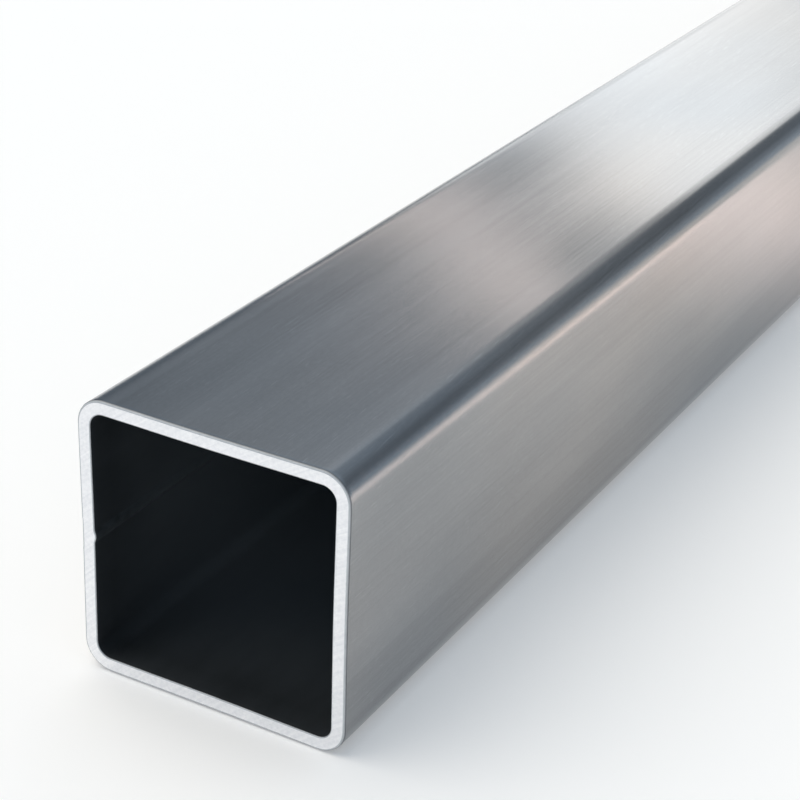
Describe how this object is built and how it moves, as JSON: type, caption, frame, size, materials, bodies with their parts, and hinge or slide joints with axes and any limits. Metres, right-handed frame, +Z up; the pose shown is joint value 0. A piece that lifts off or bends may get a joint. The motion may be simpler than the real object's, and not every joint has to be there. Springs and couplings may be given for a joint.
{
  "type": "square steel tube",
  "caption": "Straight length of square hollow section in cold-formed steel, with rounded corners, thin walls, open sawn ends and a weld bead inside one wall.",
  "frame": {"origin": "under the middle of the tube, on the surface that it lies on", "axes": "+X along the tube, away from the end that the picture shows; +Z up; the welded wall is on the +Y side"},
  "size_m": [1, 0.04, 0.04],
  "materials": {
    "cold_formed_steel": "bare cold-rolled strip, lightly oiled, with bright sawn ends"
  },
  "bodies": {
    "root": {"square_tube": "cold_formed_steel"}
  },
  "joints": []
}
